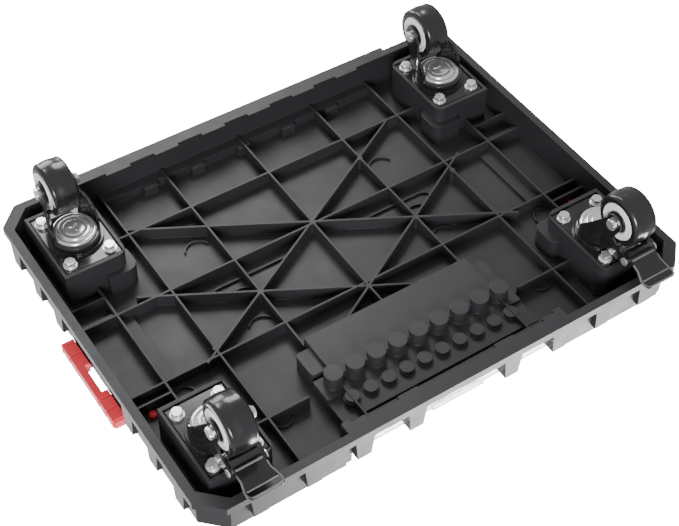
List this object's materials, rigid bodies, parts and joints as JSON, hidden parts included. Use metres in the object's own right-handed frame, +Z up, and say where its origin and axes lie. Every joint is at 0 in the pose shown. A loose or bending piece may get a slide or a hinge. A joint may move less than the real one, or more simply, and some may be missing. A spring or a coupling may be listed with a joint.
{
  "type": "wheeled tool box dolly",
  "caption": "Ribbed black deck on swivel casters with foot brakes, a clear-lidded socket tray and flip-up side latches for stacking tool boxes.",
  "frame": {"origin": "centre of the whole object's box, on the floor the wheels stand on", "axes": "+Z up, X along the deck's long side, -Y towards the front with the brakes and the tray"},
  "size_m": [0.642, 0.501, 0.1415],
  "materials": {
    "deck_plastic": "moulded, fine grain",
    "brass": "knurled insert",
    "clear_plastic": "clear polycarbonate",
    "steel_pin": "plain steel pin",
    "red_plastic": "moulded red",
    "black_paint": "gloss black coat on pressed steel",
    "zinc": "bright zinc plate",
    "ball_steel": "polished",
    "black_plastic": "moulded dust cap",
    "hub_plastic": "cream nylon core",
    "tyre_pu": "glossy polyurethane"
  },
  "bodies": {
    "deck_body": {"deck": "deck_plastic", "threaded_inserts": "brass", "lid_pins": "steel_pin", "latch_pin_right": "steel_pin", "latch_pin_left": "steel_pin", "latch_detents": "red_plastic", "plate_fr": "black_paint", "plate_bolts_fr": "zinc", "kingpin_fr": "zinc", "race_balls_fr": "ball_steel", "plate_fl": "black_paint", "plate_bolts_fl": "zinc", "kingpin_fl": "zinc", "race_balls_fl": "ball_steel", "plate_rr": "black_paint", "plate_bolts_rr": "zinc", "kingpin_rr": "zinc", "race_balls_rr": "ball_steel", "plate_rl": "black_paint", "plate_bolts_rl": "zinc", "kingpin_rl": "zinc", "race_balls_rl": "ball_steel"},
    "lid": {"tray_lid": "clear_plastic"},
    "latch_r": {"latch_right": "red_plastic"},
    "latch_l": {"latch_left": "red_plastic"},
    "caster_fr": {"fork_fr": "black_paint", "axle_fr": "zinc", "brake_pins_fr": "zinc", "brake_spring_fr": "zinc"},
    "wheel_fr": {"bearing_fr": "black_plastic", "hub_fr": "hub_plastic", "tyre_fr": "tyre_pu"},
    "pedal_fr": {"brake_pedal_fr": "black_paint"},
    "caster_fl": {"fork_fl": "black_paint", "axle_fl": "zinc", "brake_pins_fl": "zinc", "brake_spring_fl": "zinc"},
    "wheel_fl": {"bearing_fl": "black_plastic", "hub_fl": "hub_plastic", "tyre_fl": "tyre_pu"},
    "pedal_fl": {"brake_pedal_fl": "black_paint"},
    "caster_rr": {"fork_rr": "black_paint", "axle_rr": "zinc"},
    "wheel_rr": {"bearing_rr": "black_plastic", "hub_rr": "hub_plastic", "tyre_rr": "tyre_pu"},
    "caster_rl": {"fork_rl": "black_paint", "axle_rl": "zinc"},
    "wheel_rl": {"bearing_rl": "black_plastic", "hub_rl": "hub_plastic", "tyre_rl": "tyre_pu"}
  },
  "joints": [
    {"name": "tray_lid_hinge", "type": "hinge", "parent": "deck_body", "child": "lid", "pos_m": [0, -0.0745, 0.1363], "axis": [-1, 0, 0], "range_deg": [0, 110]},
    {"name": "latch_right_hinge", "type": "hinge", "parent": "deck_body", "child": "latch_r", "pos_m": [0.292, 0.0055, 0.1375], "axis": [0, -1, 0], "range_deg": [0, 100]},
    {"name": "latch_left_hinge", "type": "hinge", "parent": "deck_body", "child": "latch_l", "pos_m": [-0.292, 0.0055, 0.1375], "axis": [0, 1, 0], "range_deg": [0, 100]},
    {"name": "swivel_fr", "type": "hinge", "parent": "deck_body", "child": "caster_fr", "pos_m": [0.25, -0.1495, 0.079], "axis": [0, 0, 1], "continuous": true},
    {"name": "roll_fr", "type": "hinge", "parent": "caster_fr", "child": "wheel_fr", "pos_m": [0.25, -0.1825, 0.0315], "axis": [1, 0, 0], "continuous": true},
    {"name": "brake_fr", "type": "hinge", "parent": "caster_fr", "child": "pedal_fr", "pos_m": [0.25, -0.2095, 0.0675], "axis": [1, 0, 0], "range_deg": [-18, 0]},
    {"name": "swivel_fl", "type": "hinge", "parent": "deck_body", "child": "caster_fl", "pos_m": [-0.25, -0.1495, 0.079], "axis": [0, 0, 1], "continuous": true},
    {"name": "roll_fl", "type": "hinge", "parent": "caster_fl", "child": "wheel_fl", "pos_m": [-0.25, -0.1825, 0.0315], "axis": [1, 0, 0], "continuous": true},
    {"name": "brake_fl", "type": "hinge", "parent": "caster_fl", "child": "pedal_fl", "pos_m": [-0.25, -0.2095, 0.0675], "axis": [1, 0, 0], "range_deg": [0, 18]},
    {"name": "swivel_rr", "type": "hinge", "parent": "deck_body", "child": "caster_rr", "pos_m": [0.25, 0.1605, 0.079], "axis": [0, 0, 1], "continuous": true},
    {"name": "roll_rr", "type": "hinge", "parent": "caster_rr", "child": "wheel_rr", "pos_m": [0.25, 0.1935, 0.0315], "axis": [1, 0, 0], "continuous": true},
    {"name": "swivel_rl", "type": "hinge", "parent": "deck_body", "child": "caster_rl", "pos_m": [-0.25, 0.1605, 0.079], "axis": [0, 0, 1], "continuous": true},
    {"name": "roll_rl", "type": "hinge", "parent": "caster_rl", "child": "wheel_rl", "pos_m": [-0.25, 0.1935, 0.0315], "axis": [1, 0, 0], "continuous": true}
  ]
}
